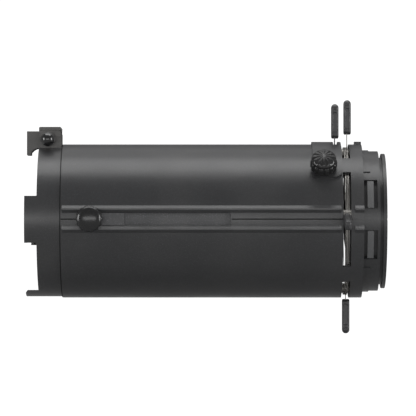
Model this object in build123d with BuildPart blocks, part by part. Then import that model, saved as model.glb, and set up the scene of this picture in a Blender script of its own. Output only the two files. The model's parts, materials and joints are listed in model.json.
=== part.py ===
from build123d import *
from math import cos, radians, sin, sqrt
import os

os.makedirs("parts", exist_ok=True)

# All sizes in mm. X runs along the beam, Y to the knob side, Z up.
# X 0 is the rear face of the rear flange, on the optical axis.

# Barrel castings
flange_r = 78.2
groove_r = 73.6
neck_r = 81.1
neck_band_r = 82.3
barrel_r = 89.0
barrel_bore_r = 86.0
rear_bore_r = 69.0
flange_end = 4.0
neck_start = 8.0
band_start = 19.0
shoulder_x = 27.0
gate_seat_x = 36.0
barrel_end = 373.7

# Shutter windows, four equal openings round the barrel
window_start = 41.6
window_end = 50.6
window_half_deg = 37.5
quarter_degs = (0, 90, 180, 270)
corner_degs = (45, 135, 225, 315)

# Drop-in accessory slot in the upper casting
slot_start = 52.5
slot_end = 60.6
slot_half_deg = 41.0

# Side rails with their knob slots
rail_slot_h = 14.5
rail_half_h = 15.8
rail_top_y = 91.8
rail_slot_start = 178.5
rail_slot_end = 352.5

# Front ring and colour-frame holder
ring_r = 87.6
ring_bore_r = 74.0
ring_end = 400.0
tab_end = 414.0
shelf_z = 80.2
side_tab_half = 26.7
boss_r = 6.2
boss_circle_r = 80.5
gate_screw_r = 81.5


def save(name, part):
    part.label = name
    export_step(part, f"parts/{name}.step")


def radial(deg):
    # A plane through the optical axis: x along the beam, y outwards at deg.
    return Plane(
        origin=(0, 0, 0),
        x_dir=(1, 0, 0),
        z_dir=(0, -sin(radians(deg)), cos(radians(deg))),
    )


def polar(radius, deg, x=0.0):
    return (x, radius * cos(radians(deg)), radius * sin(radians(deg)))


def tube(x_low, x_high, r_out, r_in=0.0, mode=Mode.ADD):
    with BuildSketch(Plane.YZ.offset(x_low)) as profile:
        Circle(r_out)
        if r_in > 0:
            Circle(r_in, mode=Mode.SUBTRACT)
    extrude(profile.sketch, amount=x_high - x_low, mode=mode)


def rods(x_low, x_high, radius, centres, mode=Mode.ADD):
    with BuildSketch(Plane.YZ.offset(x_low)) as profile:
        with Locations(*centres):
            Circle(radius)
    extrude(profile.sketch, amount=x_high - x_low, mode=mode)


def block(x_low, x_high, y_low, y_high, z_low, z_high, mode=Mode.ADD):
    centre = ((x_low + x_high) / 2, (y_low + y_high) / 2, (z_low + z_high) / 2)
    with Locations(centre):
        Box(x_high - x_low, y_high - y_low, z_high - z_low, mode=mode)


def wedge(x_low, x_high, r_in, r_out, mid_deg, half_deg, mode=Mode.ADD):
    # A slice of a tube between two angles.
    with BuildSketch(radial(mid_deg - half_deg)) as profile:
        with Locations(((x_low + x_high) / 2, (r_in + r_out) / 2)):
            Rectangle(x_high - x_low, r_out - r_in)
    revolve(profile.sketch, axis=Axis.X, revolution_arc=2 * half_deg, mode=mode)


def on_circle(radius, degs):
    return [(radius * cos(radians(d)), radius * sin(radians(d))) for d in degs]


# --- Barrel castings ---------------------------------------------------


def casting_shell(start_deg):
    with BuildSketch(radial(start_deg)) as profile:
        with BuildLine():
            Polyline(
                (0, rear_bore_r),
                (0, flange_r),
                (flange_end, flange_r),
                (flange_end, groove_r),
                (neck_start, groove_r),
                (neck_start, neck_r),
                (shoulder_x, neck_r),
                (shoulder_x, barrel_r),
                (barrel_end, barrel_r),
                (barrel_end, barrel_bore_r),
                (gate_seat_x, barrel_bore_r),
                (gate_seat_x, rear_bore_r),
                close=True,
            )
        make_face()
    revolve(profile.sketch, axis=Axis.X, revolution_arc=180)


def casting_rail(side, half):
    # One ridge beside the seam, from the front end to the window.
    foot_y = barrel_bore_r + 0.8
    with BuildSketch(Plane.YZ.offset(window_end + 2.4)) as profile:
        with BuildLine():
            Polyline(
                (side * foot_y, half * rail_slot_h / 2),
                (side * (barrel_r - 0.1), half * rail_slot_h / 2),
                (side * rail_top_y, half * 10.6),
                (side * rail_top_y, half * 12.2),
                (side * 87.3, half * rail_half_h),
                (side * 85.6, half * rail_half_h),
                close=True,
            )
        make_face()
    extrude(profile.sketch, amount=barrel_end - 2.7 - window_end - 2.4)


def casting_rear_rail(side, half):
    with BuildSketch(Plane.YZ.offset(shoulder_x)) as profile:
        with BuildLine():
            Polyline(
                (side * 86.8, half * rail_slot_h / 2),
                (side * (barrel_r - 0.1), half * rail_slot_h / 2),
                (side * rail_top_y, half * 10.6),
                (side * rail_top_y, half * 12.2),
                (side * 87.3, half * rail_half_h),
                (side * 86.0, half * rail_half_h),
                close=True,
            )
        make_face()
    extrude(profile.sketch, amount=window_start - 4.4 - shoulder_x)


def casting_cuts():
    for deg in quarter_degs:
        wedge(
            window_start, window_end, 80, 95, deg, window_half_deg,
            mode=Mode.SUBTRACT,
        )
    with BuildSketch(Plane.XZ) as profile:
        with Locations(((rail_slot_start + rail_slot_end) / 2, 0)):
            RectangleRounded(rail_slot_end - rail_slot_start, rail_slot_h, 2.5)
    extrude(profile.sketch, amount=96, both=True, mode=Mode.SUBTRACT)


def neck_pockets(half):
    for side_deg in (0, 180):
        sign = half if side_deg == 0 else -half
        wedge(
            11.3, 26.7, 76, 84, side_deg + sign * 21.4, 12.6,
            mode=Mode.SUBTRACT,
        )


def seam_groove(half):
    # Each half's edge stands back a little along the seam.
    for side in (1, -1):
        low_y = min(side * 87.0, side * 90)
        high_y = max(side * 87.0, side * 90)
        low_z = min(0, half * 0.65)
        high_z = max(0, half * 0.65)
        block(
            shoulder_x - 1, barrel_end + 1, low_y, high_y, low_z, high_z,
            mode=Mode.SUBTRACT,
        )
        low_y = min(side * 74.5, side * 90)
        high_y = max(side * 74.5, side * 90)
        block(
            -1, flange_end + 1, low_y, high_y, -1.3, 1.3, mode=Mode.SUBTRACT
        )


def casting_bosses(half):
    degs = [half * 45, half * 135]
    rods(358, barrel_end, boss_r, on_circle(boss_circle_r, degs))
    rods(
        360, barrel_end, 1.9, on_circle(boss_circle_r, degs),
        mode=Mode.SUBTRACT,
    )
    rods(
        28, gate_seat_x, 1.95, on_circle(gate_screw_r, degs), mode=Mode.SUBTRACT,
    )


def casting(half):
    casting_shell(0 if half > 0 else 180)
    tube(barrel_end - 1.1, barrel_end, 96, 87.9, mode=Mode.SUBTRACT)
    wedge(band_start, shoulder_x, neck_r - 1, neck_band_r, half * 90, 48)
    for side in (1, -1):
        casting_rail(side, half)
        casting_rear_rail(side, half)
    casting_bosses(half)
    neck_pockets(half)
    casting_cuts()
    seam_groove(half)


with BuildPart() as barrel_upper:
    casting(1)
    wedge(shoulder_x, 35, 88, 92.2, 90, 4)
    wedge(
        slot_start, slot_end, 80, 95, 90, slot_half_deg, mode=Mode.SUBTRACT
    )
    for knob_deg in (40, 140):
        with BuildSketch(
            Plane(origin=polar(80, knob_deg, 72.7), z_dir=polar(1, knob_deg))
        ):
            Circle(3.06)
        extrude(amount=14, mode=Mode.SUBTRACT)
save("barrel_upper", barrel_upper.part)

with BuildPart() as barrel_lower:
    casting(-1)
save("barrel_lower", barrel_lower.part)

with BuildPart() as neck_pads:
    for pad_deg in (21.4, -21.4, 158.6, 201.4):
        wedge(15.5, 22.7, 76, 80.2, pad_deg, 12.0)
save("neck_pads", neck_pads.part)


# --- Front ring and colour-frame latch ---------------------------------


def side_plate(y_low, y_high, points, mode=Mode.ADD):
    # An outline in X and Z, given thickness along Y.
    with BuildSketch(Plane.XZ.offset(-y_high)) as profile:
        with BuildLine():
            Polyline(*points, close=True)
        make_face()
    extrude(profile.sketch, amount=y_high - y_low, mode=mode)


def cross_rod(y_low, y_high, radius, x, z, mode=Mode.ADD):
    with BuildSketch(Plane.XZ.offset(-y_high)) as profile:
        with Locations((x, z)):
            Circle(radius)
    extrude(profile.sketch, amount=y_high - y_low, mode=mode)


def ring_segment(x_low, x_high, inner, half_width, deg):
    # The part of the ring's disc beyond a flat line, for a holder tab.
    face = Plane(
        origin=(x_low, 0, 0),
        x_dir=(0, cos(radians(deg)), sin(radians(deg))),
        z_dir=(1, 0, 0),
    )
    with BuildSketch(face) as profile:
        Circle(ring_r)
        with Locations((inner + 20, 0)):
            Rectangle(40, 2 * half_width, mode=Mode.INTERSECT)
    extrude(profile.sketch, amount=x_high - x_low)


with BuildPart() as front_ring:
    tube(barrel_end, ring_end, ring_r, ring_bore_r)
    rods(
        370, 402, 2.2, on_circle(boss_circle_r, corner_degs),
        mode=Mode.SUBTRACT,
    )
    rods(
        395.8, 402, 4.0, on_circle(boss_circle_r, corner_degs),
        mode=Mode.SUBTRACT,
    )
    block(370, 402, -30, 30, 84, 95, mode=Mode.SUBTRACT)
    with Locations((387, 7, 84), (387, -7, 84)):
        Hole(1.95, depth=7)
    ring_segment(ring_end, tab_end + 1, shelf_z, 33, 270)
    side_plate(
        -40, 40, [(411.5, -79), (416, -79), (416, -84.7)], mode=Mode.SUBTRACT
    )
    for tab_deg in (0, 180):
        ring_segment(ring_end, tab_end, shelf_z, side_tab_half, tab_deg)
        ring_segment(410.9, tab_end, 72, side_tab_half, tab_deg)
        ring_segment(404.5, 406, 76.5, side_tab_half, tab_deg)
save("front_ring", front_ring.part)

with BuildPart() as ring_screws:
    rods(361, 396, 1.85, on_circle(boss_circle_r, corner_degs))
    rods(396, 399.6, 3.6, on_circle(boss_circle_r, corner_degs))
    with BuildSketch(Plane.YZ.offset(397.6)):
        with Locations(*on_circle(boss_circle_r, corner_degs)):
            RegularPolygon(1.7, 6)
    extrude(amount=3, mode=Mode.SUBTRACT)
save("ring_screws", ring_screws.part)

pivot_x = 378.5
pivot_z = 100.5
plunger_x = 389.7
plunger_z = 93.5
ear_outer = 16.0
ear_inner = 14.0


ear_outline = [
    (374.4, 84),
    (399.8, 84),
    (399.8, 104.5),
    (pivot_x, 104.5),
    (375.6, 103.4),
    (374.4, pivot_z),
]

with BuildPart() as latch_bracket:
    block(374.4, 395, -ear_outer, ear_outer, 84, 86)
    side_plate(ear_inner, ear_outer, ear_outline)
    side_plate(-ear_outer, -ear_inner, ear_outline)
    cross_rod(-20, 20, 2.5, pivot_x, pivot_z, mode=Mode.SUBTRACT)
    cross_rod(10, 20, 4.0, plunger_x, plunger_z, mode=Mode.SUBTRACT)
    with Locations((387, 7, 86), (387, -7, 86)):
        Hole(2.1, depth=4)
save("latch_bracket", latch_bracket.part)

with BuildPart() as bracket_screws:
    with Locations((387, 7, 82.5), (387, -7, 82.5)):
        Cylinder(1.9, 7, align=(Align.CENTER, Align.CENTER, Align.CENTER))
    with Locations((387, 7, 87), (387, -7, 87)):
        Cylinder(3.4, 2)
save("bracket_screws", bracket_screws.part)

arm_outline = [
    (374.8, 104.8),
    (374.8, 99),
    (383, 91.5),
    (400.5, 84.6),
    (404, 83.8),
    (407.2, 82.0),
    (409.8, 79.2),
    (409.8, 76.3),
    (414.6, 76.3),
    (414.6, 103.7),
    (400.5, 103.7),
    (400.5, 104.8),
]

with BuildPart() as latch_arm:
    block(374.8, 400.5, -ear_outer, ear_outer, 104.75, 108.7)
    side_plate(11.5, 13.6, arm_outline)
    side_plate(-13.6, -11.5, arm_outline)
    block(412.6, 414.6, -13.6, 13.6, 76.3, 103.7)
    block(399.0, 414.6, -13.6, 13.6, 101.7, 103.7)
    block(399.0, 400.5, -13.6, 13.6, 101.7, 105)
    cross_rod(-20, 20, 2.55, pivot_x, pivot_z, mode=Mode.SUBTRACT)
    cross_rod(5, 20, 2.4, plunger_x, plunger_z, mode=Mode.SUBTRACT)
    fillet(
        latch_arm.edges().filter_by(Axis.Y).group_by(Axis.Z)[-1], radius=1.4
    )
save("latch_arm", latch_arm.part)

with BuildPart() as latch_pin:
    cross_rod(-17.5, 17.5, 2.5, pivot_x, pivot_z)
    cross_rod(-18.3, -17.5, 3.6, pivot_x, pivot_z)
    cross_rod(17.5, 18.3, 3.6, pivot_x, pivot_z)
save("latch_pin", latch_pin.part)

with BuildPart() as plunger_sleeve:
    cross_rod(14, 16, 4.0, plunger_x, plunger_z)
    cross_rod(16, 18.6, 5.6, plunger_x, plunger_z)
    cross_rod(10, 20, 2.06, plunger_x, plunger_z, mode=Mode.SUBTRACT)
save("plunger_sleeve", plunger_sleeve.part)

with BuildPart() as plunger_pin:
    cross_rod(13.95, 31, 2.0, plunger_x, plunger_z)
save("plunger_pin", plunger_pin.part)

with BuildPart() as plunger_ball:
    with Locations((plunger_x, 33.2, plunger_z)):
        Sphere(8.1)
    cross_rod(20, 31, 2.0, plunger_x, plunger_z, mode=Mode.SUBTRACT)
save("plunger_ball", plunger_ball.part)


# --- Gate and shutters -------------------------------------------------

gate_r = 36.0
ring_fit_r = 85.9
pivot_r = 78.0
trunnion_r = 2.5
guide_r = 5.7
blade_t = 0.8
edge_to_root = 90.6
grip_length = 40.0
grip_wide = 11.5
grip_thick = 8.7

with BuildPart() as gate_plate:
    tube(36, 38, 85.8, gate_r)
    rods(
        35, 39, 2.0, on_circle(gate_screw_r, corner_degs), mode=Mode.SUBTRACT
    )
save("gate_plate", gate_plate.part)


def trunnion_ring(x_low, x_high):
    tube(x_low, x_high, 85.8, 71)
    for deg in quarter_degs:
        wedge(
            x_low - 1, x_high + 1, pivot_r - 2.56, pivot_r + 2.56, deg, 12,
            mode=Mode.SUBTRACT,
        )
    rods(
        x_low - 1, x_high + 1, 2.0, on_circle(gate_screw_r, corner_degs),
        mode=Mode.SUBTRACT,
    )


with BuildPart() as shutter_ring_rear:
    trunnion_ring(38, 41.2)
save("shutter_ring_rear", shutter_ring_rear.part)

with BuildPart() as shutter_ring_front:
    trunnion_ring(50.5, 52.3)
save("shutter_ring_front", shutter_ring_front.part)

for number, spacer_x in enumerate((43.85, 45.55, 47.25)):
    with BuildPart() as spacer_ring:
        tube(spacer_x, spacer_x + 0.6, ring_fit_r, 84)
    save(f"spacer_ring_{number + 1}", spacer_ring.part)

with BuildPart() as accessory_guide:
    tube(60.8, 62.4, ring_fit_r, 58)
    block(52.5, 61.2, -24, 24, -59.4, -55.3)
    rods(
        60, 64, 2.0, on_circle(gate_screw_r, corner_degs), mode=Mode.SUBTRACT
    )
save("accessory_guide", accessory_guide.part)

with BuildPart() as gate_screws:
    rods(28.5, 62.4, 1.9, on_circle(gate_screw_r, corner_degs))
    rods(62.4, 65, 3.4, on_circle(gate_screw_r, corner_degs))
save("gate_screws", gate_screws.part)


def outward(origin, deg):
    # A plane across the beam: x runs outwards at deg, y along the rim.
    return Plane(
        origin=origin,
        x_dir=(0, cos(radians(deg)), sin(radians(deg))),
        z_dir=(1, 0, 0),
    )


def lengthwise(origin, deg):
    # A plane along the beam: x runs outwards at deg, y towards the rear.
    return Plane(
        origin=origin,
        x_dir=(0, cos(radians(deg)), sin(radians(deg))),
        z_dir=(0, -sin(radians(deg)), cos(radians(deg))),
    )


def guide_body(pivot, deg, blade_x):
    face = outward((41.7, pivot[1], pivot[2]), deg)
    with BuildSketch(face) as barrel:
        Circle(guide_r)
    extrude(barrel.sketch, amount=8.4)
    pin_face = outward((38.3, pivot[1], pivot[2]), deg)
    with BuildSketch(pin_face) as pin:
        Circle(trunnion_r)
    extrude(pin.sketch, amount=13.9)
    slit_face = outward((blade_x - 0.1, pivot[1], pivot[2]), deg)
    with BuildSketch(slit_face) as slit:
        Rectangle(40, 8.4)
    extrude(slit.sketch, amount=blade_t + 0.2, mode=Mode.SUBTRACT)


def blade_body(pivot, deg, blade_x, reach):
    # reach is how far the blade's inner edge lies inside the pivot.
    face = outward((blade_x, pivot[1], pivot[2]), deg)
    with BuildSketch(face) as sheet:
        with BuildLine():
            Polyline(
                (-reach, -40),
                (20 - reach, -40),
                (31 - reach, -4),
                (119 - reach, -4),
                (119 - reach, 4),
                (31 - reach, 4),
                (20 - reach, 40),
                (-reach, 40),
                close=True,
            )
        make_face()
    extrude(sheet.sketch, amount=blade_t)


def grip_body(pivot, deg, grip_x, root, neck_half, taper):
    # root is the distance of the grip's inner end from the pivot. The end
    # there is 2 * neck_half thick and widens over the length of the taper.
    side_face = lengthwise((grip_x, pivot[1], pivot[2]), deg)
    front_face = outward((grip_x, pivot[1], pivot[2]), deg)
    tip = root + grip_length
    with BuildSketch(side_face) as side_profile:
        with BuildLine():
            Polyline(
                (root, -neck_half),
                (root + taper, -grip_thick / 2),
                (tip, -grip_thick / 2),
                (tip, grip_thick / 2),
                (root + taper, grip_thick / 2),
                (root, neck_half),
                close=True,
            )
        make_face()
    extrude(side_profile.sketch, amount=grip_wide / 2, both=True)
    with BuildSketch(front_face) as front_profile:
        with BuildLine():
            Polyline(
                (root, -3.5),
                (root + 3, -grip_wide / 2),
                (tip, -grip_wide / 2),
                (tip, grip_wide / 2),
                (root + 3, grip_wide / 2),
                (root, 3.5),
                close=True,
            )
        make_face()
    extrude(
        front_profile.sketch, amount=10, both=True, mode=Mode.INTERSECT
    )
    out_axis = Axis((0, 0, 0), (0, cos(radians(deg)), sin(radians(deg))))
    fillet(faces().sort_by(out_axis)[-1].edges(), radius=3.35)


def grip_details(pivot, deg, grip_x, root, tang_x, tang_t):
    # A shallow panel and a dimple on both flanks, and the tang's slot.
    for turn in (0, 180):
        flank = lengthwise((grip_x, pivot[1], pivot[2]), deg).offset(
            grip_wide / 2 if turn == 0 else -grip_wide / 2
        )
        with BuildSketch(flank) as panel:
            with Locations((root + 18, 0)):
                SlotOverall(25, 5.0)
            with Locations((root + 34.5, 0)):
                Circle(1.7)
        extrude(panel.sketch, amount=0.7, both=True, mode=Mode.SUBTRACT)
    slot_face = outward((tang_x, pivot[1], pivot[2]), deg)
    with BuildSketch(slot_face) as slot:
        with Locations((root + 4.2, 0)):
            Rectangle(48.4, 8)
    extrude(slot.sketch, amount=tang_t, mode=Mode.SUBTRACT)


# Each shutter: where its guide sits on the rim, which way it points, the
# blade's plane, how far in it is, and its grip's middle.
shutters = {
    "top": dict(
        seat=90, points=90, blade_x=42.9, reach=68, grip_x=42.9,
        neck_half=3.6, taper=1.6,
    ),
    "bottom": dict(
        seat=270, points=270, blade_x=44.6, reach=78, grip_x=44.8,
        neck_half=3.6, taper=1.6,
    ),
    "near": dict(
        seat=4, points=-16, blade_x=46.3, reach=78, grip_x=46.7,
        neck_half=2.6, taper=6,
    ),
    "far": dict(
        seat=180, points=180, blade_x=48.0, reach=74, grip_x=47.4,
        neck_half=2.6, taper=6,
    ),
}

for place, shutter in shutters.items():
    pivot = polar(pivot_r, shutter["seat"])
    heading = shutter["points"]
    root = edge_to_root - shutter["reach"]
    with BuildPart() as guide:
        guide_body(pivot, heading, shutter["blade_x"])
    save(f"shutter_guide_{place}", guide.part)
    with BuildPart() as blade:
        blade_body(pivot, heading, shutter["blade_x"], shutter["reach"])
    save(f"shutter_blade_{place}", blade.part)
    with BuildPart() as grip:
        grip_body(
            pivot, heading, shutter["grip_x"], root, shutter["neck_half"],
            shutter["taper"],
        )
        grip_details(
            pivot, heading, shutter["grip_x"], root, shutter["blade_x"],
            blade_t,
        )
    save(f"shutter_grip_{place}", grip.part)


# --- Drop-in iris ------------------------------------------------------

iris_half_y = 55.0
iris_open_r = 37.5
leaf_pivot_r = 45.0
leaf_count = 6
leaf_t = 0.28
leaf_pitch = 0.42
drive_arm = (3.86, -3.48)
leaf_ratio = 1.8
lever_swing = 11.0
leaf_mid_deg = 25.0
leaf_wide = 8.5
cam_x = 56.9
cam_t = 1.2


def iris_outline():
    with Locations((0, 44)):
        Rectangle(2 * iris_half_y, 88)
    Circle(iris_half_y)
    Circle(88.3, mode=Mode.INTERSECT)


with BuildPart() as iris_base:
    with BuildSketch(Plane.YZ.offset(52.8)):
        iris_outline()
        Circle(iris_open_r + 1, mode=Mode.SUBTRACT)
        with PolarLocations(leaf_pivot_r, leaf_count):
            Circle(1.05, mode=Mode.SUBTRACT)
    extrude(amount=0.8)
    with BuildSketch(Plane.YZ.offset(53.5)):
        iris_outline()
        Circle(52.6, mode=Mode.SUBTRACT)
        with Locations((0, 70)):
            Rectangle(100, 140, mode=Mode.SUBTRACT)
    extrude(amount=4.9)
    block(53.5, 58.4, 52.8, iris_half_y, 0, 69)
    block(53.5, 58.4, -iris_half_y, -52.8, 0, 69)
save("iris_base", iris_base.part)

with BuildPart() as iris_cover:
    with BuildSketch(Plane.YZ.offset(58.4)):
        iris_outline()
        Circle(iris_open_r + 1, mode=Mode.SUBTRACT)
    extrude(amount=1.0)
save("iris_cover", iris_cover.part)


def turned(point, deg):
    y, z = point
    c, s = cos(radians(deg)), sin(radians(deg))
    return (y * c - z * s, y * s + z * c)


def drive_pin_at(leaf_deg):
    # Leaf 0's drive pin, with the leaf turned by leaf_deg from rest.
    arm = turned(drive_arm, leaf_deg)
    return (leaf_pivot_r + arm[0], arm[1])


def cam_track(leaf_deg):
    points = []
    for step in range(-8, 9):
        lever_deg = step * lever_swing * 1.2 / 8
        pin = drive_pin_at(lever_deg * leaf_ratio)
        points.append(turned(pin, leaf_deg - lever_deg))
    return points


with BuildPart() as cam_ring:
    with BuildSketch(Plane.YZ.offset(cam_x)):
        Circle(52.2)
        with Locations((0, 72)):
            Rectangle(8, 48)
        with Locations((0, 109)):
            Rectangle(8, 26)
        Circle(iris_open_r + 0.8, mode=Mode.SUBTRACT)
    extrude(amount=cam_t)
    with BuildSketch(Plane.YZ.offset(cam_x)):
        for number in range(leaf_count):
            with BuildLine() as track:
                Spline(*cam_track(number * 360 / leaf_count))
            trace(track.line, line_width=2.5)
    extrude(amount=cam_t, mode=Mode.SUBTRACT)
save("cam_ring", cam_ring.part)

with BuildPart() as iris_grip:
    grip_body((0, 0, 0), 90, 57.2, 96, 3.6, 1.6)
    grip_details((0, 0, 0), 90, 57.2, 96, cam_x, cam_t)
save("iris_grip", iris_grip.part)


def leaf_body(leaf_deg, leaf_x):
    # Drawn fully open about the axis, then turned in about its pivot.
    hinge = turned((leaf_pivot_r, 0), leaf_deg)
    closed_turn = leaf_deg + leaf_mid_deg
    middle = turned((-leaf_pivot_r, 0), closed_turn)
    centre = (hinge[0] + middle[0], hinge[1] + middle[1])
    frame = Plane(
        origin=(leaf_x, centre[0], centre[1]),
        x_dir=(0, cos(radians(closed_turn)), sin(radians(closed_turn))),
        z_dir=(1, 0, 0),
    )
    arc_r = iris_open_r + leaf_wide / 2
    with BuildSketch(frame) as crescent:
        with BuildLine():
            arc = CenterArc((0, 0), arc_r, 0, 112)
        trace(arc, line_width=leaf_wide)
        with Locations((leaf_pivot_r, 0)):
            Circle(3.2)
    extrude(crescent.sketch, amount=leaf_t)
    ear_plane = outward((leaf_x, hinge[0], hinge[1]), leaf_deg)
    with BuildSketch(ear_plane) as ear:
        with Locations((drive_arm[0] / 2, drive_arm[1] / 2)):
            Rectangle(5.2, 4.4, rotation=-42)
        with Locations(drive_arm):
            Circle(2.3)
    extrude(ear.sketch, amount=leaf_t)
    hinge_plane = outward((52.85, hinge[0], hinge[1]), leaf_deg)
    with BuildSketch(hinge_plane) as hinge_pin:
        Circle(1.0)
    extrude(hinge_pin.sketch, amount=leaf_x - 52.85 + leaf_t)
    with BuildSketch(ear_plane) as drive_pin:
        with Locations(drive_arm):
            Circle(1.1)
    extrude(drive_pin.sketch, amount=58.2 - leaf_x)


for number in range(leaf_count):
    with BuildPart() as leaf:
        leaf_body(number * 360 / leaf_count, 53.85 + number * leaf_pitch)
    save(f"iris_leaf_{number + 1}", leaf.part)


# --- Accessory slot cover ----------------------------------------------

cover_start = 51.2
cover_end = 84.5
cover_r = 92.0
cover_half_deg = 58.0
cover_knob_x = 72.7

with BuildPart() as slot_cover:
    wedge(cover_start, cover_end, barrel_r + 0.05, cover_r, 90, cover_half_deg)
    fillet(
        slot_cover.edges()
        .filter_by(GeomType.LINE)
        .filter_by(Axis.X, reverse=True)
        .group_by(Axis.X)[0],
        radius=9,
    )
    wedge(54.6, 60.0, 86, 95, 90, 17.5, mode=Mode.SUBTRACT)
    for cover_deg in (40, 140):
        with BuildSketch(
            Plane(
                origin=polar(84, cover_deg, cover_knob_x),
                z_dir=polar(1, cover_deg),
            )
        ):
            Circle(3.15)
        extrude(amount=12, mode=Mode.SUBTRACT)
save("slot_cover", slot_cover.part)


# --- Lens carriers -----------------------------------------------------

lens_r = 75.0
holder_r = 85.4
strip_in = 84.6
strip_half_deg = 7.2
stud_r = 3.0

# Each carrier: which side its knob is on, its ring, its block, its strip,
# its knob, and the flat and crown of its lens.
carriers = {
    "focus": dict(
        deg=0, ring=(326, 354), block=(300, 351), strip=(172, 366),
        knob_x=339.5, flat=328.1, crown=350.0,
    ),
    "zoom": dict(
        deg=180, ring=(205, 233), block=(201, 240), strip=(132, 357),
        knob_x=220.5, flat=230.9, crown=209.0,
    ),
}


def stud_hole(x, deg, radius):
    with BuildSketch(
        Plane(origin=polar(60, deg, x), z_dir=polar(1, deg))
    ) as hole:
        Circle(radius)
    extrude(hole.sketch, amount=40, mode=Mode.SUBTRACT)


def holder_body(low, high, deg, knob_x):
    tube(low, high, holder_r, lens_r + 0.3)
    tube(low, low + 2, 80, 71.5)
    tube(high - 2, high, 80, 71.5)
    wedge(
        low - 1, high + 1, strip_in - 0.05, 87, deg, strip_half_deg + 0.2,
        mode=Mode.SUBTRACT,
    )
    wedge(
        low - 1, high + 1, strip_in - 0.5, 87, deg + 180,
        strip_half_deg + 0.5, mode=Mode.SUBTRACT,
    )
    stud_hole(knob_x, deg, stud_r + 0.06)


def lens_body(flat, crown):
    # Plano-convex: a flat face and a domed one on a short cylinder edge.
    facing = 1 if crown > flat else -1
    edge = flat + facing * 5
    depth = abs(crown - edge)
    dome_r = (lens_r**2 + depth**2) / (2 * depth)
    middle = crown - facing * dome_r
    quarter = 0.5 * lens_r
    bulge = middle + facing * sqrt(dome_r**2 - quarter**2)
    with BuildSketch(Plane.XY) as section:
        with BuildLine():
            Polyline((crown, 0), (flat, 0), (flat, lens_r), (edge, lens_r))
            ThreePointArc((edge, lens_r), (bulge, quarter), (crown, 0))
        make_face()
    revolve(section.sketch, axis=Axis.X, revolution_arc=360)


def slider_block(low, high, deg, knob_x):
    sign = 1 if deg == 0 else -1
    low_y = min(sign * 84, sign * 89.2)
    high_y = max(sign * 84, sign * 89.2)
    block(low, high, low_y, high_y, -6.9, 6.9)
    tube(low - 1, high + 1, holder_r + 0.06, mode=Mode.SUBTRACT)
    stud_hole(knob_x, deg, stud_r + 0.06)


def knob_plane(x, deg, radius):
    return Plane(
        origin=polar(radius, deg, x), x_dir=(1, 0, 0), z_dir=polar(1, deg)
    )


def knob_body(base):
    # A collar, a lobed grip, and a domed top.
    with BuildSketch(base) as collar:
        Circle(9.5)
    extrude(collar.sketch, amount=1.6)
    with BuildSketch(base.offset(1.2)) as skirt:
        Circle(15.4)
        with PolarLocations(17.0, 14):
            Circle(2.5, mode=Mode.SUBTRACT)
    extrude(skirt.sketch, amount=11.3)
    with BuildSketch(base.offset(12.5)) as rim:
        Circle(14.2)
    extrude(rim.sketch, amount=2.2)
    section_plane = Plane(
        origin=base.origin, x_dir=base.x_dir, z_dir=-base.y_dir
    )
    with BuildSketch(section_plane) as dome:
        with BuildLine():
            Polyline((0, 20), (0, 14.0), (14.2, 14.0), (14.2, 14.7))
            ThreePointArc((14.2, 14.7), (8.4, 18.5), (0, 20))
        make_face()
    revolve(
        dome.sketch,
        axis=Axis(base.origin, base.z_dir),
        revolution_arc=360,
    )
    with BuildSketch(base) as bore:
        Circle(stud_r)
    extrude(bore.sketch, amount=10, mode=Mode.SUBTRACT)


def knob_stud(base, depth):
    with BuildSketch(base.offset(-depth)) as stud:
        Circle(stud_r)
    extrude(stud.sketch, amount=depth + 10)


for place, carrier in carriers.items():
    low, high = carrier["ring"]
    deg = carrier["deg"]
    knob_x = carrier["knob_x"]
    with BuildPart() as holder:
        holder_body(low, high, deg, knob_x)
    save(f"{place}_lens_holder", holder.part)
    with BuildPart() as lens:
        lens_body(carrier["flat"], carrier["crown"])
    save(f"{place}_lens", lens.part)
    with BuildPart() as slider:
        slider_block(*carrier["block"], deg, knob_x)
    save(f"{place}_slider", slider.part)
    with BuildPart() as strip:
        wedge(*carrier["strip"], strip_in, holder_r, deg, strip_half_deg)
        stud_hole(knob_x, deg, stud_r + 0.06)
    save(f"{place}_slot_strip", strip.part)
    base = knob_plane(knob_x, deg, 92.3)
    with BuildPart() as knob:
        knob_body(base)
    save(f"{place}_knob", knob.part)
    with BuildPart() as stud:
        knob_stud(base, 15)
    save(f"{place}_knob_stud", stud.part)

for place, cover_deg in {"near": 40, "far": 140}.items():
    base = knob_plane(cover_knob_x, cover_deg, cover_r + 0.1)
    with BuildPart() as knob:
        knob_body(base)
    save(f"cover_knob_{place}", knob.part)
    with BuildPart() as stud:
        knob_stud(base, 8)
    save(f"cover_stud_{place}", stud.part)
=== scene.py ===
import json
import math

import bmesh
import bpy
from mathutils import Matrix, Vector


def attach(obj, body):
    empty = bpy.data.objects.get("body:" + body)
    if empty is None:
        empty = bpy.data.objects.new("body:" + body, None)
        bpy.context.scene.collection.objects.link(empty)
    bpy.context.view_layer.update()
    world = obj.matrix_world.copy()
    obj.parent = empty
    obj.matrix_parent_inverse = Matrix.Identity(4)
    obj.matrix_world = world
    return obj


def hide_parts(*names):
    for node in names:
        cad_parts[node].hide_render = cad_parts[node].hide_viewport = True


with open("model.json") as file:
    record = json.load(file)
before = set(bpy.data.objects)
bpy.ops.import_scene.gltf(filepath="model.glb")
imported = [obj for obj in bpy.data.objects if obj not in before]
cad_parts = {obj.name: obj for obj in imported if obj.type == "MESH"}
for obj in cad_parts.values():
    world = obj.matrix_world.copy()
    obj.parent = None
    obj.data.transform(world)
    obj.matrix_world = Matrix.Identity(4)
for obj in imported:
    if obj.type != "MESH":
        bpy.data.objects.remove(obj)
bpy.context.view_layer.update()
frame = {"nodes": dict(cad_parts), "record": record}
nodes = frame["nodes"]
print("frame loaded:", len(nodes), "nodes")

# --- view and studio ---

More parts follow.
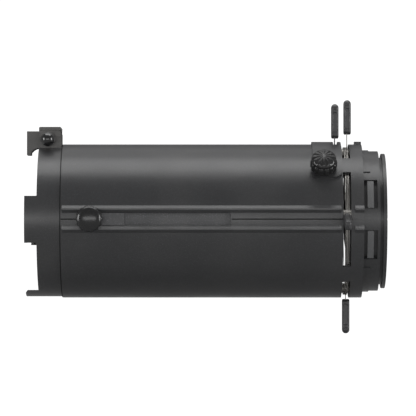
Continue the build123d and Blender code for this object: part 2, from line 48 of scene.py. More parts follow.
viewSettings = {
    "target": (0.2047, 0.0, 0.0151),
    "distance": 3.954,
    "tiltDeg": -1.6,        # the camera sits a little below the barrel
    "lens": 294.3,
    "floorZ": -0.150,
}

lightSettings = {
    # name: (position, aimed at, width, height, watts)
    "overheadBank": ((0.20, 0.10, 1.60), (0.20, 0.0, 0.0), 1.8, 0.9, 17.0),
    "backBank": ((0.20, -0.80, 1.39), (0.20, 0.0, 0.0), 1.8, 0.9, 3.0),
    "faceBank": ((0.20, 4.20, 0.06), (0.20, 0.0, 0.0), 4.0, 0.9, 44.0),
    "frontBank": ((1.75, 0.70, 0.10), (0.22, 0.0, 0.0), 0.6, 1.0, 12.0),
    "rearBank": ((-1.35, 0.70, 0.10), (0.20, 0.0, 0.0), 0.6, 1.0, 17.0),
}


def aim(obj, place, target):
    obj.location = place
    heading = Vector(target) - Vector(place)
    obj.rotation_euler = heading.to_track_quat("-Z", "Y").to_euler()


def makeCamera():
    camData = bpy.data.cameras.new("viewCamera")
    camData.lens = viewSettings["lens"]
    camData.sensor_width = 36.0
    camera = bpy.data.objects.new("viewCamera", camData)
    bpy.context.scene.collection.objects.link(camera)
    tilt = math.radians(viewSettings["tiltDeg"])
    target = Vector(viewSettings["target"])
    offset = Vector((0.0, math.cos(tilt), math.sin(tilt)))
    aim(camera, target + offset * viewSettings["distance"], target)
    bpy.context.scene.camera = camera


def makeLights():
    for name, values in lightSettings.items():
        place, target, width, height, watts = values
        lamp = bpy.data.lights.new(name, "AREA")
        lamp.shape = "RECTANGLE"
        lamp.size = width
        lamp.size_y = height
        lamp.energy = watts
        obj = bpy.data.objects.new(name, lamp)
        bpy.context.scene.collection.objects.link(obj)
        aim(obj, place, target)
    world = bpy.data.worlds.new("studioWorld")
    world.use_nodes = True
    sky = world.node_tree.nodes["Background"]
    sky.inputs["Color"].default_value = (1.0, 1.0, 1.0, 1.0)
    sky.inputs["Strength"].default_value = 0.24
    bright = world.node_tree.nodes.new("ShaderNodeBackground")
    bright.inputs["Color"].default_value = (1.0, 1.0, 1.0, 1.0)
    bright.inputs["Strength"].default_value = 1.1
    path = world.node_tree.nodes.new("ShaderNodeLightPath")
    pick = world.node_tree.nodes.new("ShaderNodeMixShader")
    link = world.node_tree.links.new
    link(path.outputs["Is Camera Ray"], pick.inputs[0])
    link(sky.outputs[0], pick.inputs[1])
    link(bright.outputs[0], pick.inputs[2])
    link(pick.outputs[0], world.node_tree.nodes["World Output"].inputs["Surface"])
    bpy.context.scene.world = world
    bpy.context.scene.view_settings.view_transform = "Standard"


def makeFloor():
    # A flat pale floor; the world behind it is as bright.
    mesh = bpy.data.meshes.new("studioFloor")
    bm = bmesh.new()
    z = viewSettings["floorZ"]
    corners = [(-4.0, -3.5), (4.4, -3.5), (4.4, 5.0), (-4.0, 5.0)]
    bm.faces.new([bm.verts.new((x, y, z)) for x, y in corners])
    bm.to_mesh(mesh)
    bm.free()
    floor = bpy.data.objects.new("studioFloor", mesh)
    bpy.context.scene.collection.objects.link(floor)
    paper = bpy.data.materials.new("studioPaper")
    paper.use_nodes = True
    tree = paper.node_tree
    shader = tree.nodes["Principled BSDF"]
    shader.inputs["Base Color"].default_value = (0.30, 0.30, 0.30, 1.0)
    shader.inputs["Roughness"].default_value = 0.9
    shader.inputs["Emission Color"].default_value = (1.0, 1.0, 1.0, 1.0)
    shader.inputs["Emission Strength"].default_value = 0.12
    glow = tree.nodes.new("ShaderNodeEmission")
    glow.inputs["Color"].default_value = (1.0, 1.0, 1.0, 1.0)
    glow.inputs["Strength"].default_value = 1.1
    path = tree.nodes.new("ShaderNodeLightPath")
    pick = tree.nodes.new("ShaderNodeMixShader")
    tree.links.new(path.outputs["Is Camera Ray"], pick.inputs[0])
    tree.links.new(shader.outputs[0], pick.inputs[1])
    tree.links.new(glow.outputs[0], pick.inputs[2])
    tree.links.new(pick.outputs[0], tree.nodes["Material Output"].inputs["Surface"])
    mesh.materials.append(paper)


makeCamera()
makeLights()
makeFloor()
print("camera, lights and floor made")

# --- shader groups ---


def newGroup(name, inputs, outputs):
    group = bpy.data.node_groups.new(name, "ShaderNodeTree")
    for label, kind, value in inputs:
        socket = group.interface.new_socket(label, in_out="INPUT", socket_type=kind)
        socket.default_value = value
    for label, kind in outputs:
        group.interface.new_socket(label, in_out="OUTPUT", socket_type=kind)
    start = group.nodes.new("NodeGroupInput")
    end = group.nodes.new("NodeGroupOutput")
    coords = group.nodes.new("ShaderNodeTexCoord")
    return group, start, end, coords


def mathNode(group, operation, first, second=None, third=None):
    node = group.nodes.new("ShaderNodeMath")
    node.operation = operation
    for index, value in enumerate((first, second, third)):
        if value is None:
            continue
        if isinstance(value, (int, float)):
            node.inputs[index].default_value = value
        else:
            group.links.new(value, node.inputs[index])
    return node.outputs[0]


def noiseNode(group, vector, scale, detail=2.0, roughness=0.5):
    node = group.nodes.new("ShaderNodeTexNoise")
    node.inputs["Detail"].default_value = detail
    node.inputs["Roughness"].default_value = roughness
    group.links.new(vector, node.inputs["Vector"])
    if isinstance(scale, (int, float)):
        node.inputs["Scale"].default_value = scale
    else:
        group.links.new(scale, node.inputs["Scale"])
    return node.outputs["Fac"]


def mapRange(group, value, low, high, outLow, outHigh):
    node = group.nodes.new("ShaderNodeMapRange")
    group.links.new(value, node.inputs["Value"])
    for label, bound in (
        ("From Min", low), ("From Max", high),
        ("To Min", outLow), ("To Max", outHigh),
    ):
        if isinstance(bound, (int, float)):
            node.inputs[label].default_value = bound
        else:
            group.links.new(bound, node.inputs[label])
    return node.outputs["Result"]


def mixColour(group, factor, first, second):
    node = group.nodes.new("ShaderNodeMix")
    node.data_type = "RGBA"
    group.links.new(factor, node.inputs[0])
    for socket, value in ((node.inputs[6], first), (node.inputs[7], second)):
        if isinstance(value, tuple):
            socket.default_value = value
        else:
            group.links.new(value, socket)
    return node.outputs[2]


def grainGroup():
    # Powder coat: a fine orange-peel height, specks in the colour, and
    # a slow change of gloss.
    group, start, end, coords = newGroup(
        "powderGrain",
        (
            ("Base", "NodeSocketColor", (0.03, 0.03, 0.032, 1.0)),
            ("Speck", "NodeSocketColor", (0.09, 0.09, 0.095, 1.0)),
            ("Grain Scale", "NodeSocketFloat", 1500.0),
            ("Roughness Low", "NodeSocketFloat", 0.38),
            ("Roughness High", "NodeSocketFloat", 0.52),
        ),
        (
            ("Color", "NodeSocketColor"),
            ("Roughness", "NodeSocketFloat"),
            ("Height", "NodeSocketFloat"),
        ),
    )
    place = coords.outputs["Object"]
    fine = noiseNode(group, place, start.outputs["Grain Scale"], 2.0, 0.6)
    coarse = noiseNode(group, place, 420.0, 2.0, 0.55)
    slow = noiseNode(group, place, 26.0, 3.0, 0.55)
    specks = mapRange(group, fine, 0.56, 0.72, 0.0, 0.75)
    colour = mixColour(group, specks, start.outputs["Base"], start.outputs["Speck"])
    gloss = mapRange(
        group, slow, 0.3, 0.7,
        start.outputs["Roughness Low"], start.outputs["Roughness High"],
    )
    height = mathNode(group, "ADD", fine, mathNode(group, "MULTIPLY", coarse, 0.8))
    group.links.new(colour, end.inputs["Color"])
    group.links.new(gloss, end.inputs["Roughness"])
    group.links.new(height, end.inputs["Height"])
    return group


def wearGroup():
    # Handling marks: thin pale scuffs and soft patches of dust.
    group, start, end, coords = newGroup(
        "handlingWear",
        (
            ("Amount", "NodeSocketFloat", 0.5),
            ("Scuff Scale", "NodeSocketFloat", 60.0),
        ),
        (("Scuff", "NodeSocketFloat"), ("Dust", "NodeSocketFloat")),
    )
    place = coords.outputs["Object"]
    stretch = group.nodes.new("ShaderNodeMapping")
    stretch.inputs["Scale"].default_value = (0.35, 1.0, 1.6)
    stretch.inputs["Rotation"].default_value = (0.4, 0.3, 0.2)
    group.links.new(place, stretch.inputs["Vector"])
    lines = noiseNode(
        group, stretch.outputs["Vector"], start.outputs["Scuff Scale"], 6.0, 0.72,
    )
    patches = noiseNode(group, place, 14.0, 3.0, 0.5)
    thin = mapRange(group, lines, 0.66, 0.74, 0.0, 1.0)
    where = mapRange(group, patches, 0.5, 0.66, 0.0, 1.0)
    worn = mathNode(group, "MULTIPLY", thin, where)
    scuff = mathNode(group, "MULTIPLY", worn, start.outputs["Amount"])
    dusted = mapRange(group, patches, 0.42, 0.75, 0.0, 1.0)
    dust = mathNode(group, "MULTIPLY", dusted, start.outputs["Amount"])
    group.links.new(scuff, end.inputs["Scuff"])
    group.links.new(dust, end.inputs["Dust"])
    return group


def brushedGroup():
    # Fine parallel lines for rolled or turned metal.
    group, start, end, coords = newGroup(
        "brushedLines",
        (
            ("Line Scale", "NodeSocketFloat", 900.0),
            ("Stretch", "NodeSocketVector", (1.0, 0.06, 1.0)),
            ("Base", "NodeSocketColor", (0.5, 0.5, 0.5, 1.0)),
            ("Streak", "NodeSocketColor", (0.6, 0.6, 0.6, 1.0)),
            ("Roughness Low", "NodeSocketFloat", 0.22),
            ("Roughness High", "NodeSocketFloat", 0.42),
        ),
        (
            ("Color", "NodeSocketColor"),
            ("Roughness", "NodeSocketFloat"),
            ("Height", "NodeSocketFloat"),
        ),
    )
    scaled = group.nodes.new("ShaderNodeVectorMath")
    scaled.operation = "MULTIPLY"
    group.links.new(coords.outputs["Object"], scaled.inputs[0])
    group.links.new(start.outputs["Stretch"], scaled.inputs[1])
    lines = noiseNode(group, scaled.outputs[0], start.outputs["Line Scale"], 3.0, 0.6)
    cloud = noiseNode(group, coords.outputs["Object"], 45.0, 3.0, 0.5)
    colour = mixColour(group, lines, start.outputs["Base"], start.outputs["Streak"])
    faint = mathNode(group, "MULTIPLY", cloud, 0.4)
    blend = mathNode(group, "MULTIPLY_ADD", lines, 0.6, faint)
    rough = mapRange(
        group, blend, 0.3, 0.7,
        start.outputs["Roughness Low"], start.outputs["Roughness High"],
    )
    group.links.new(colour, end.inputs["Color"])
    group.links.new(rough, end.inputs["Roughness"])
    group.links.new(lines, end.inputs["Height"])
    return group


grain = grainGroup()
wear = wearGroup()
brushed = brushedGroup()


def placeGroup(tree, group, values):
    node = tree.nodes.new("ShaderNodeGroup")
    node.node_tree = group
    for label, value in values.items():
        node.inputs[label].default_value = value
    return node


def bumpInto(tree, height, shader, strength, distance):
    bump = tree.nodes.new("ShaderNodeBump")
    bump.inputs["Strength"].default_value = strength
    bump.inputs["Distance"].default_value = distance
    tree.links.new(height, bump.inputs["Height"])
    tree.links.new(bump.outputs["Normal"], shader.inputs["Normal"])


# Dust on the coated pieces: how much it tints, how much it dulls.
dustLook = {"share": 0.10, "colour": (0.30, 0.29, 0.27, 1.0), "dulling": 0.06}


def coatedMaterial(name, look):
    # A sprayed or moulded skin: grain, then scuffs and dust over it.
    material = bpy.data.materials.new(name)
    material.use_nodes = True
    tree = material.node_tree
    shader = tree.nodes["Principled BSDF"]
    skin = placeGroup(tree, grain, {
        "Base": look["base"], "Speck": look["speck"],
        "Grain Scale": look["grainScale"],
        "Roughness Low": look["rough"][0], "Roughness High": look["rough"][1],
    })
    marks = placeGroup(tree, wear, {
        "Amount": look["wear"], "Scuff Scale": look["scuffScale"],
    })
    scuffed = mixColour(tree, marks.outputs["Scuff"], skin.outputs["Color"], look["scuff"])
    film = mathNode(tree, "MULTIPLY", marks.outputs["Dust"], dustLook["share"])
    dusty = mixColour(tree, film, scuffed, dustLook["colour"])
    tree.links.new(dusty, shader.inputs["Base Color"])
    rough = mathNode(
        tree, "MULTIPLY_ADD", marks.outputs["Dust"], dustLook["dulling"],
        skin.outputs["Roughness"],
    )
    tree.links.new(rough, shader.inputs["Roughness"])
    bumpInto(tree, skin.outputs["Height"], shader, look["bump"], look["bumpDepth"])
    shader.inputs["Metallic"].default_value = 0.0
    shader.inputs["Specular IOR Level"].default_value = look["specular"]
    shader.inputs["Coat Weight"].default_value = look["coat"]
    shader.inputs["Coat Roughness"].default_value = 0.12
    return material


def metalMaterial(name, look):
    material = bpy.data.materials.new(name)
    material.use_nodes = True
    tree = material.node_tree
    shader = tree.nodes["Principled BSDF"]
    lines = placeGroup(tree, brushed, {
        "Base": look["base"], "Streak": look["streak"], "Stretch": look["stretch"],
        "Line Scale": look["lineScale"],
        "Roughness Low": look["rough"][0], "Roughness High": look["rough"][1],
    })
    marks = placeGroup(tree, wear, {"Amount": look["wear"], "Scuff Scale": 90.0})
    film = mathNode(tree, "MULTIPLY", marks.outputs["Dust"], 0.5)
    dulled = mixColour(tree, film, lines.outputs["Color"], look["dull"])
    tree.links.new(dulled, shader.inputs["Base Color"])
    tree.links.new(lines.outputs["Roughness"], shader.inputs["Roughness"])
    bumpInto(tree, lines.outputs["Height"], shader, look["bump"], 0.0001)
    shader.inputs["Metallic"].default_value = 1.0
    return material


coatedLooks = {
    "barrelPowderCoat": dict(
        base=(0.028, 0.0285, 0.030, 1.0), speck=(0.085, 0.086, 0.09, 1.0), grainScale=1500.0,
        rough=(0.29, 0.37), wear=0.35, scuffScale=60.0, scuff=(0.16, 0.16, 0.165, 1.0),
        bump=0.12, bumpDepth=0.00025, specular=0.5, coat=0.0,
    ),
    "latchPowderCoat": dict(
        base=(0.062, 0.060, 0.057, 1.0), speck=(0.14, 0.135, 0.13, 1.0), grainScale=1700.0,
        rough=(0.34, 0.46), wear=0.7, scuffScale=80.0, scuff=(0.22, 0.22, 0.22, 1.0),
        bump=0.3, bumpDepth=0.0002, specular=0.5, coat=0.0,
    ),
    "holderAnodised": dict(
        base=(0.060, 0.061, 0.064, 1.0), speck=(0.17, 0.17, 0.18, 1.0), grainScale=900.0,
        rough=(0.42, 0.58), wear=0.8, scuffScale=110.0, scuff=(0.28, 0.28, 0.29, 1.0),
        bump=0.2, bumpDepth=0.00015, specular=0.55, coat=0.0,
    ),
    "knobPlastic": dict(
        base=(0.012, 0.012, 0.0125, 1.0), speck=(0.022, 0.022, 0.023, 1.0), grainScale=1300.0,
        rough=(0.16, 0.26), wear=0.25, scuffScale=120.0, scuff=(0.10, 0.10, 0.10, 1.0),
        bump=0.06, bumpDepth=0.0001, specular=0.5, coat=0.0,
    ),
    "gripPlastic": dict(
        base=(0.030, 0.030, 0.0315, 1.0), speck=(0.06, 0.06, 0.062, 1.0), grainScale=1100.0,
        rough=(0.34, 0.46), wear=0.55, scuffScale=130.0, scuff=(0.14, 0.14, 0.14, 1.0),
        bump=0.16, bumpDepth=0.00015, specular=0.5, coat=0.0,
    ),
    "ballPlastic": dict(
        base=(0.008, 0.008, 0.0085, 1.0), speck=(0.012, 0.012, 0.012, 1.0), grainScale=900.0,
        rough=(0.07, 0.13), wear=0.15, scuffScale=140.0, scuff=(0.08, 0.08, 0.08, 1.0),
        bump=0.02, bumpDepth=0.0001, specular=0.5, coat=0.5,
    ),
    # near-black, used only for the painted shade in the castings' joints
    "paintedShadeBlack": dict(
        base=(0.005, 0.005, 0.005, 1.0), speck=(0.009, 0.009, 0.009, 1.0), grainScale=900.0,
        rough=(0.62, 0.78), wear=0.1, scuffScale=120.0, scuff=(0.03, 0.03, 0.03, 1.0),
        bump=0.05, bumpDepth=0.0001, specular=0.25, coat=0.0,
    ),
    "neckNylon": dict(
        base=(0.10, 0.102, 0.105, 1.0), speck=(0.17, 0.17, 0.175, 1.0), grainScale=800.0,
        rough=(0.38, 0.52), wear=0.6, scuffScale=90.0, scuff=(0.22, 0.22, 0.22, 1.0),
        bump=0.08, bumpDepth=0.0001, specular=0.5, coat=0.0,
    ),
}

metalLooks = {
    "shutterSteel": dict(
        base=(0.17, 0.165, 0.155, 1.0), streak=(0.27, 0.265, 0.25, 1.0), stretch=(1.0, 0.05, 1.0),
        lineScale=900.0, rough=(0.30, 0.46), wear=0.5, dull=(0.25, 0.23, 0.20, 1.0), bump=0.03,
    ),
    "zincSteel": dict(
        base=(0.40, 0.385, 0.36, 1.0), streak=(0.50, 0.485, 0.46, 1.0), stretch=(1.0, 0.05, 0.05),
        lineScale=500.0, rough=(0.38, 0.52), wear=0.6, dull=(0.30, 0.29, 0.27, 1.0), bump=0.02,
    ),
    "irisSteel": dict(
        base=(0.085, 0.085, 0.09, 1.0), streak=(0.16, 0.16, 0.165, 1.0), stretch=(1.0, 0.08, 0.6),
        lineScale=800.0, rough=(0.34, 0.52), wear=0.5, dull=(0.06, 0.055, 0.05, 1.0), bump=0.08,
    ),
}

materials = {name: coatedMaterial(name, look) for name, look in coatedLooks.items()}
for name, look in metalLooks.items():
    materials[name] = metalMaterial(name, look)


def glassMaterial():
    # Clear glass with a faint bloom on its coating and a little dust.
    material = bpy.data.materials.new("lensGlass")
    material.use_nodes = True
    tree = material.node_tree
    shader = tree.nodes["Principled BSDF"]
    marks = placeGroup(tree, wear, {"Amount": 0.4, "Scuff Scale": 50.0})
    tint = mixColour(
        tree, marks.outputs["Dust"], (0.94, 0.97, 0.98, 1.0), (0.86, 0.88, 0.90, 1.0),
    )
    tree.links.new(tint, shader.inputs["Base Color"])
    rough = mapRange(tree, marks.outputs["Dust"], 0.0, 1.0, 0.01, 0.06)
    tree.links.new(rough, shader.inputs["Roughness"])
    shader.inputs["Metallic"].default_value = 0.0
    shader.inputs["Transmission Weight"].default_value = 1.0
    shader.inputs["IOR"].default_value = 1.52
    return material


materials["lensGlass"] = glassMaterial()

slotMaterials = {
    "barrel_paint": "barrelPowderCoat",
    "latch_paint": "latchPowderCoat",
    "holder_anodised": "holderAnodised",
    "knob_plastic": "knobPlastic",
    "grip_plastic": "gripPlastic",
    "ball_plastic": "ballPlastic",
    "shutter_steel": "shutterSteel",
    "zinc_steel": "zincSteel",
    "iris_steel": "irisSteel",
    "lens_glass": "lensGlass",
    "pad_nylon": "neckNylon",
}

nodeSlots = {
    entry["node"]: entry["material_slot"] for entry in frame["record"]["subparts"]
}

for nodeName, slotName in nodeSlots.items():
    mesh = nodes[nodeName].data
    mesh.materials.clear()
    mesh.materials.append(materials[slotMaterials[slotName]])
print("materials placed on", len(nodeSlots), "nodes")

# --- detailed pieces ---

knobShape = {
    "lobes": 14,
    "stepsPerLobe": 12,
    "lobeDepth": 0.0013,
    "lobePower": 1.6,       # above 1 the hollows between lobes are narrower
    "sharpDeg": 38,
    # height above the seat, radius, share of the lobes
    "profile": (
        (0.0000, 0.0088, 0.0), (0.0011, 0.0094, 0.0), (0.0012, 0.0138, 0.0),
        (0.0015, 0.0146, 0.8), (0.0024, 0.0154, 1.0), (0.0060, 0.0154, 1.0),
        (0.0104, 0.0153, 1.0), (0.0117, 0.0149, 0.9), (0.0123, 0.0141, 0.2),
        (0.0125, 0.0134, 0.0), (0.0136, 0.0134, 0.0), (0.0138, 0.0141, 0.0),
        (0.0143, 0.0142, 0.0), (0.0149, 0.0141, 0.0),
    ),
    "domeTop": 0.0200,
    "domeRings": 14,
    "flutes": 12,
}

knurlShape = {
    "ribs": 64,
    "ringRadius": 0.01345,
    "ribSize": (0.0010, 0.00065, 0.0009),
    "seatHeight": 0.01305,
}

# name: CAD node, body, (place along the beam, seat radius), turn about the
# beam in degrees, depth of the flutes in the cap
knobPlaces = {
    "focusKnobTop": ("focus_knob", "focus_lock", (0.3395, 0.0923), 0.0, 0.0),
    "zoomKnobTop": ("zoom_knob", "zoom_lock", (0.2205, 0.0923), 180.0, 0.0),
    "coverKnobNearTop": (
        "cover_knob_near", "cover_lock_near", (0.0727, 0.0921), 40.0, 0.0009,
    ),
    "coverKnobFarTop": (
        "cover_knob_far", "cover_lock_far", (0.0727, 0.0921), 140.0, 0.0009,
    ),
}


def seatMatrix(along, radius, turnDeg):
    # Moves a piece drawn standing on +Z to a seat on the barrel's side.
    turn = Matrix.Rotation(math.radians(turnDeg), 4, "X")
    stand = Matrix.Rotation(math.radians(-90.0), 4, "X")
    out = Matrix.Translation((0, radius, 0))
    return Matrix.Translation((along, 0, 0)) @ turn @ out @ stand


def linkPiece(name, mesh, slotName, bodyName):
    obj = bpy.data.objects.new(name, mesh)
    bpy.context.scene.collection.objects.link(obj)
    if not mesh.materials:
        mesh.materials.append(materials[slotMaterials[slotName]])
    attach(obj, bodyName)
    return obj


def knobMesh(name, fluteDepth):
    count = knobShape["lobes"] * knobShape["stepsPerLobe"]
    bm = bmesh.new()
    rings = []
    profile = list(knobShape["profile"])
    rimHeight, rimRadius, _ = profile[-1]
    rise = knobShape["domeTop"] - rimHeight
    for step in range(1, knobShape["domeRings"]):
        share = math.radians(90.0 * step / knobShape["domeRings"])
        profile.append((
            rimHeight + rise * math.sin(share), rimRadius * math.cos(share), 0.0,
        ))
    for height, radius, lobed in profile:
        ring = []
        for index in range(count):
            angle = 2 * math.pi * index / count
            wave = 0.5 - 0.5 * math.cos(knobShape["lobes"] * angle)
            dip = wave ** knobShape["lobePower"]
            r = radius - knobShape["lobeDepth"] * lobed * dip
            flute = 0.0
            if height > rimHeight:  # only the domed cap carries flutes
                share = radius / rimRadius
                swell = share * share * (1 - share) * 4
                flute = fluteDepth * swell * math.cos(knobShape["flutes"] * angle)
            ring.append(bm.verts.new((
                r * math.cos(angle), r * math.sin(angle), height + flute,
            )))
        rings.append(ring)
    for low, high in zip(rings, rings[1:]):
        for index in range(count):
            after = (index + 1) % count
            bm.faces.new((low[index], low[after], high[after], high[index]))
    top = bm.verts.new((0, 0, knobShape["domeTop"]))
    foot = bm.verts.new((0, 0, 0))
    for index in range(count):
        after = (index + 1) % count
        bm.faces.new((rings[-1][index], rings[-1][after], top))
        bm.faces.new((rings[0][after], rings[0][index], foot))
    bmesh.ops.recalc_face_normals(bm, faces=bm.faces)
    mesh = bpy.data.meshes.new(name)
    bm.to_mesh(mesh)
    bm.free()
    for face in mesh.polygons:
        face.use_smooth = True
    mesh.set_sharp_from_angle(angle=math.radians(knobShape["sharpDeg"]))
    return mesh


def ringOfRibsTree():
    # Boxes set round a circle, each turned to face outwards.
    tree = bpy.data.node_groups.new("ringOfRibs", "GeometryNodeTree")
    tree.is_modifier = True
    shape = "NodeSocketGeometry"
    tree.interface.new_socket("Geometry", in_out="INPUT", socket_type=shape)
    for label, kind in (
        ("Count", "NodeSocketInt"), ("Ring Radius", "NodeSocketFloat"),
        ("Rib Size", "NodeSocketVector"), ("Height", "NodeSocketFloat"),
        ("Material", "NodeSocketMaterial"),
    ):
        tree.interface.new_socket(label, in_out="INPUT", socket_type=kind)
    tree.interface.new_socket("Geometry", in_out="OUTPUT", socket_type=shape)
    add = tree.nodes.new
    link = tree.links.new
    start = add("NodeGroupInput")
    end = add("NodeGroupOutput")
    circle = add("GeometryNodeMeshCircle")
    link(start.outputs["Count"], circle.inputs["Vertices"])
    link(start.outputs["Ring Radius"], circle.inputs["Radius"])
    lift = add("GeometryNodeTransform")
    offset = add("ShaderNodeCombineXYZ")
    link(start.outputs["Height"], offset.inputs["Z"])
    link(offset.outputs[0], lift.inputs["Translation"])
    rib = add("GeometryNodeMeshCube")
    link(start.outputs["Rib Size"], rib.inputs["Size"])
    spot = add("GeometryNodeInputPosition")
    flat = add("ShaderNodeVectorMath")
    flat.operation = "MULTIPLY"
    flat.inputs[1].default_value = (1.0, 1.0, 0.0)
    link(spot.outputs[0], flat.inputs[0])
    facing = add("FunctionNodeAlignRotationToVector")
    facing.axis = "X"
    link(flat.outputs[0], facing.inputs["Vector"])
    scatter = add("GeometryNodeInstanceOnPoints")
    link(circle.outputs["Mesh"], scatter.inputs["Points"])
    link(rib.outputs["Mesh"], scatter.inputs["Instance"])
    link(facing.outputs["Rotation"], scatter.inputs["Rotation"])
    real = add("GeometryNodeRealizeInstances")
    paint = add("GeometryNodeSetMaterial")
    link(scatter.outputs["Instances"], lift.inputs["Geometry"])
    link(lift.outputs["Geometry"], real.inputs["Geometry"])
    link(real.outputs["Geometry"], paint.inputs["Geometry"])
    link(start.outputs["Material"], paint.inputs["Material"])
    link(paint.outputs["Geometry"], end.inputs["Geometry"])
    return tree


ringOfRibs = ringOfRibsTree()


def ribbedRing(name, values, matrix):
    host = bpy.data.objects.new(name + "Host", bpy.data.meshes.new(name + "Host"))
    bpy.context.scene.collection.objects.link(host)
    modifier = host.modifiers.new("ribs", "NODES")
    modifier.node_group = ringOfRibs
    for socket in ringOfRibs.interface.items_tree:
        if socket.in_out == "INPUT" and socket.name in values:
            modifier[socket.identifier] = values[socket.name]
    graph = bpy.context.evaluated_depsgraph_get()
    mesh = bpy.data.meshes.new_from_object(host.evaluated_get(graph))
    mesh.name = name
    mesh.transform(matrix)
    bpy.data.objects.remove(host)
    return mesh


for pieceName, (nodeName, bodyName, seat, turnDeg, fluteDepth) in knobPlaces.items():
    matrix = seatMatrix(seat[0], seat[1], turnDeg)
    mesh = knobMesh(pieceName, fluteDepth)
    mesh.transform(matrix)
    knob = linkPiece(pieceName, mesh, "knob_plastic", bodyName)
    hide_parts(nodeName)
    knurl = ribbedRing(pieceName + "Knurl", {
        "Count": knurlShape["ribs"], "Ring Radius": knurlShape["ringRadius"],
        "Rib Size": knurlShape["ribSize"], "Height": knurlShape["seatHeight"],
        "Material": materials["knobPlastic"],
    }, matrix)
    linkPiece(pieceName + "Knurl", knurl, "knob_plastic", bodyName)
print("knobs made")

gripShape = {
    "length": 0.040,
    "halfWide": 0.00575,
    "halfThick": 0.00435,
    "corner": 3.6,          # how square the section is
    "tipRound": 0.0046,
    "rootWide": 0.58,       # width share at the root
    "rootRun": 0.003,       # length over which it grows to the full one
    # middle, half length, half width, depth
    "panel": (0.0180, 0.0125, 0.0026, 0.0007),
    "panelEdge": 0.0005,
    "dimple": (0.0345, 0.0017, 0.0006),         # middle, radius, depth
    "flankShare": 0.7,      # how far out the flank's hollows begin
    "sharpDeg": 42,
    "stations": 84,
    "around": 72,
}

thinNeck = (0.60, 0.006)
fullNeck = (0.83, 0.0016)

# name: CAD node, body, (beam place, seat radius, seat angle), heading, root,
# (thickness share at the root, length over which it grows to the full one)
gripPlaces = {
    "topGrip": (
        "shutter_grip_top", "shutter_top",
        (0.0429, 0.078, 90.0), 90.0, 0.0226, fullNeck,
    ),
    "bottomGrip": (
        "shutter_grip_bottom", "shutter_bottom",
        (0.0448, 0.078, 270.0), 270.0, 0.0126, fullNeck,
    ),
    "nearGrip": (
        "shutter_grip_near", "shutter_near",
        (0.0467, 0.078, 4.0), -16.0, 0.0126, thinNeck,
    ),
    "farGrip": (
        "shutter_grip_far", "shutter_far",
        (0.0474, 0.078, 180.0), 180.0, 0.0166, thinNeck,
    ),
    "irisLeverGrip": (
        "iris_grip", "iris_cam",
        (0.0572, 0.0, 90.0), 90.0, 0.0960, fullNeck,
    ),
}


def gripScale(along, neck):
    # Shares of the full thickness and width at a place along the grip.
    share, taper = neck
    thick = min(1.0, share + (1 - share) * along / taper)
    rootWide = gripShape["rootWide"]
    wide = min(1.0, rootWide + (1 - rootWide) * along / gripShape["rootRun"])
    left = gripShape["length"] - along
    if left >= gripShape["tipRound"]:
        return thick, wide
    gone = 1 - left / gripShape["tipRound"]
    tip = math.sqrt(max(0.0, 1 - gone * gone))
    return thick * tip, wide * tip


def gripHollow(along, across):
    # How deep the flank is let in at a place on it.
    middle, halfLength, halfWidth, depth = gripShape["panel"]
    run = max(0.0, abs(along - middle) - (halfLength - halfWidth))
    edge = halfWidth - math.hypot(run, across)
    panel = depth * min(1.0, max(0.0, edge / gripShape["panelEdge"]))
    spot, radius, dip = gripShape["dimple"]
    away = math.hypot(along - spot, across) / radius
    return max(panel, dip * math.sqrt(max(0.0, 1 - away * away)) if away < 1 else 0.0)


def gripMesh(name, neck):
    bm = bmesh.new()
    rings = []
    length = gripShape["length"]
    count = gripShape["around"]
    stations = gripShape["stations"]
    runs = [length * step / stations for step in range(stations)]
    runs += [length - 0.0003, length - 0.00012]
    runs = sorted(set(round(run, 6) for run in runs))
    power = 2.0 / gripShape["corner"]
    for along in runs:
        thickShare, wideShare = gripScale(along, neck)
        ring = []
        for index in range(count):
            angle = 2 * math.pi * (index + 0.5) / count
            c = math.cos(angle)
            s = math.sin(angle)
            halfWide = gripShape["halfWide"] * wideShare
            halfThick = gripShape["halfThick"] * thickShare
            wide = halfWide * math.copysign(abs(c) ** power, c)
            thick = halfThick * math.copysign(abs(s) ** power, s)
            if abs(wide) > gripShape["flankShare"] * halfWide:
                wide -= math.copysign(gripHollow(along, thick), wide)
            ring.append(bm.verts.new((along, wide, thick)))
        rings.append(ring)
    for low, high in zip(rings, rings[1:]):
        for index in range(count):
            after = (index + 1) % count
            bm.faces.new((low[index], low[after], high[after], high[index]))
    bm.faces.new(list(reversed(rings[0])))
    bm.faces.new(rings[-1])
    bmesh.ops.recalc_face_normals(bm, faces=bm.faces)
    mesh = bpy.data.meshes.new(name)
    bm.to_mesh(mesh)
    bm.free()
    for face in mesh.polygons:
        face.use_smooth = True
    mesh.set_sharp_from_angle(angle=math.radians(gripShape["sharpDeg"]))
    return mesh


def gripMatrix(seat, headingDeg, root):
    # Local x runs outwards along the grip, y across it, z along the beam.
    beam, radius, seatDeg = seat
    seatTurn = math.radians(seatDeg)
    heading = math.radians(headingDeg)
    outward = Vector((0.0, math.cos(heading), math.sin(heading)))
    beamward = Vector((1.0, 0.0, 0.0))
    across = beamward.cross(outward)
    foot = Vector((beam, radius * math.cos(seatTurn), radius * math.sin(seatTurn)))
    origin = foot + outward * root
    return Matrix((
        (outward.x, across.x, beamward.x, origin.x),
        (outward.y, across.y, beamward.y, origin.y),
        (outward.z, across.z, beamward.z, origin.z),
        (0.0, 0.0, 0.0, 1.0),
    ))


for pieceName, (nodeName, bodyName, seat, headingDeg, root, neck) in gripPlaces.items():
    mesh = gripMesh(pieceName, neck)
    mesh.transform(gripMatrix(seat, headingDeg, root))
    grip = linkPiece(pieceName, mesh, nodeSlots[nodeName], bodyName)
    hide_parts(nodeName)
print("grips made")

# painted shade: a near-black ring laid in the joint of the castings and the front ring
frontShadeRingShape = {
    "low": 0.37275,         # between the castings' front edge and the ring
    "high": 0.37368,
    "inner": 0.08795,
    "outer": 0.0888,
    "corner": 0.0002,
    "around": 256,
}


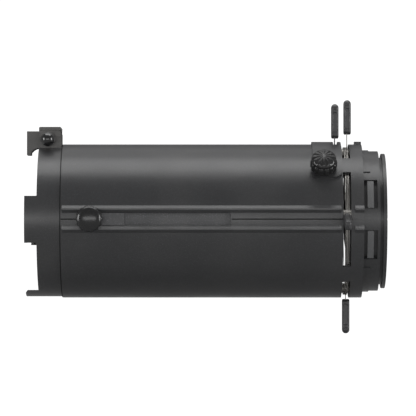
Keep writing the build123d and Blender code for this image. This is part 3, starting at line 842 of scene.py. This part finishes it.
def frontShadeRingMesh(name):
    # A thin near-black ring turned about the beam: painted shade standing in for the shadow of
    # the step between the castings and the front ring.
    low, high = frontShadeRingShape["low"], frontShadeRingShape["high"]
    inner, outer = frontShadeRingShape["inner"], frontShadeRingShape["outer"]
    corner = frontShadeRingShape["corner"]
    section = (
        (low, inner), (low, outer - corner), (low + corner, outer),
        (high - corner, outer), (high, outer - corner), (high, inner),
    )
    bm = bmesh.new()
    rings = []
    for index in range(frontShadeRingShape["around"]):
        angle = 2 * math.pi * index / frontShadeRingShape["around"]
        rings.append([
            bm.verts.new((x, r * math.cos(angle), r * math.sin(angle))) for x, r in section
        ])
    for index, ring in enumerate(rings):
        nextRing = rings[(index + 1) % len(rings)]
        for spot in range(len(section)):
            after = (spot + 1) % len(section)
            bm.faces.new((ring[spot], ring[after], nextRing[after], nextRing[spot]))
    bmesh.ops.recalc_face_normals(bm, faces=bm.faces)
    mesh = bpy.data.meshes.new(name)
    bm.to_mesh(mesh)
    bm.free()
    return mesh


# painted shade: the front ring's joint is filled with near-black so it reads as the step's shadow
shadeRing = frontShadeRingMesh("frontShadeRing")
shadeRing.materials.append(materials["paintedShadeBlack"])
linkPiece("frontShadeRing", shadeRing, "grip_plastic", "barrel")
print("front shade ring made")

# painted shade: near-black strips laid in the castings' joint groove
seamShadeShape = {
    "halfWide": 0.00060,
    "foot": 0.08705,        # the bottom of the joint's groove
    "top": 0.0876,
    "corner": 0.00015,
    "runs": ((0.0512, 0.1775), (0.3530, 0.3722)),
}


def seamShadeMesh(name, side):
    # A near-black strip along the joint of the two castings: painted shade standing in for the
    # shadow in the joint's groove.
    half, foot, top = seamShadeShape["halfWide"], seamShadeShape["foot"], seamShadeShape["top"]
    corner = seamShadeShape["corner"]
    section = (
        (foot, -half), (top - corner, -half), (top, -half + corner),
        (top, half - corner), (top - corner, half), (foot, half),
    )
    bm = bmesh.new()
    for start, stop in seamShadeShape["runs"]:
        ends = [
            [bm.verts.new((x, side * y, z)) for y, z in section] for x in (start, stop)
        ]
        count = len(section)
        for index in range(count):
            after = (index + 1) % count
            bm.faces.new((
                ends[0][index], ends[0][after], ends[1][after], ends[1][index],
            ))
        bm.faces.new(ends[0])
        bm.faces.new(ends[1])
    bmesh.ops.recalc_face_normals(bm, faces=bm.faces)
    mesh = bpy.data.meshes.new(name)
    bm.to_mesh(mesh)
    bm.free()
    return mesh


# painted shade: the joint groove on each side gets a near-black strip for its shadow
for pieceName, side in (("nearSeamShade", 1), ("farSeamShade", -1)):
    shadeStrip = seamShadeMesh(pieceName, side)
    shadeStrip.materials.append(materials["paintedShadeBlack"])
    linkPiece(pieceName, shadeStrip, "grip_plastic", "barrel")
print("seam shade strips made")
